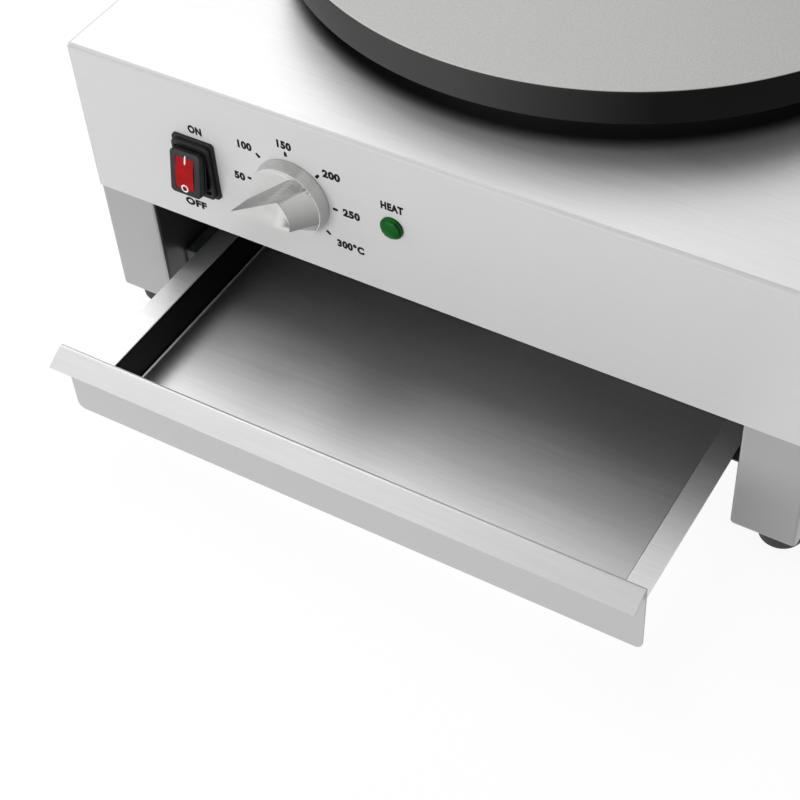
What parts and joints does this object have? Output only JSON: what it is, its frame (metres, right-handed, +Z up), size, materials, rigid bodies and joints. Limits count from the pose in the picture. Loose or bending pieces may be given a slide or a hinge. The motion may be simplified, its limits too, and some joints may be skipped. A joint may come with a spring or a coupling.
{
  "type": "electric crepe maker",
  "caption": "Countertop electric crepe maker: round cast plate on a folded stainless casing with plinths, pull-out utensil drawer, dial, rocker switch and lamp.",
  "frame": {"origin": "on the counter, under the centre of the cooking plate and of the casing's footprint", "axes": "+X to the right of a person facing the dial, +Y away from them (the drawer opens along -Y), +Z up"},
  "size_m": [0.45, 0.6065, 0.2305],
  "materials": {
    "stainless_casing": "brushed stainless sheet, fine grain along X",
    "stainless_tray": "brushed stainless sheet",
    "galvanised_sheet": "galvanised sheet",
    "aluminised_sheet": "aluminised sheet",
    "zinc_plated_steel": "zinc plated",
    "black_rubber": "moulded, matt",
    "boot_rubber": "moulded, slight sheen",
    "cast_iron_plate": "machined and seasoned, matt",
    "element_sheath": "oxidised sheath",
    "mineral_wool": "pressed fibre board",
    "copper_tube": "drawn copper",
    "porcelain": "glazed",
    "bakelite": "moulded",
    "black_nylon": "moulded",
    "satin_chrome_knob": "satin chrome plate",
    "red_key": "moulded, translucent",
    "green_lens": "moulded, faceted",
    "silicone_sleeve": "woven sleeve"
  },
  "bodies": {
    "root": {"top_casing": "stainless_casing", "base_plate": "galvanised_sheet", "base_plate_screws": "zinc_plated_steel", "rear_panel": "stainless_casing", "rear_panel_screws": "zinc_plated_steel", "left_plinth": "stainless_casing", "right_plinth": "stainless_casing", "plinth_screws": "zinc_plated_steel", "left_runner": "galvanised_sheet", "right_runner": "galvanised_sheet", "drawer_guides": "galvanised_sheet", "rail_rivets": "zinc_plated_steel", "rubber_feet": "black_rubber", "foot_screws": "zinc_plated_steel", "foot_nuts": "zinc_plated_steel", "cooking_plate": "cast_iron_plate", "outer_element": "element_sheath", "inner_element": "element_sheath", "element_clamp": "galvanised_sheet", "plate_spacers": "zinc_plated_steel", "plate_studs": "zinc_plated_steel", "plate_nuts": "zinc_plated_steel", "heat_pan": "galvanised_sheet", "insulation_disc": "mineral_wool", "reflector_disc": "aluminised_sheet", "support_bars": "galvanised_sheet", "thermostat_body": "porcelain", "thermostat_screws": "zinc_plated_steel", "thermostat_bulb": "copper_tube", "bulb_saddle": "zinc_plated_steel", "capillary": "copper_tube", "overheat_cutout": "bakelite", "switch_housing": "black_nylon", "switch_boot": "boot_rubber", "indicator_lens": "green_lens", "indicator_body": "black_nylon", "indicator_nut": "black_nylon", "cable_gland": "black_nylon", "gland_cap": "black_nylon", "gland_locknut": "zinc_plated_steel", "terminal_block": "porcelain", "earth_stud": "zinc_plated_steel", "wiring_loom": "silicone_sleeve"},
    "drawer": {"drawer_tray": "stainless_tray", "drawer_front": "stainless_casing"},
    "dial": {"control_knob": "satin_chrome_knob", "thermostat_shaft": "zinc_plated_steel"},
    "rocker": {"rocker_key": "red_key", "boot_frame": "boot_rubber"}
  },
  "joints": [
    {"name": "drawer_slide", "type": "slide", "parent": "root", "child": "drawer", "axis": [0, -1, 0], "range_m": [-0.0991, 0.18]},
    {"name": "dial_turn", "type": "hinge", "parent": "root", "child": "dial", "pos_m": [-0.0817, -0.2375, 0.1428], "axis": [0, 1, 0], "range_deg": [0, 241]},
    {"name": "rocker_tilt", "type": "hinge", "parent": "root", "child": "rocker", "pos_m": [-0.1454, -0.2377, 0.1396], "axis": [1, 0, 0], "range_deg": [0, 22]}
  ]
}
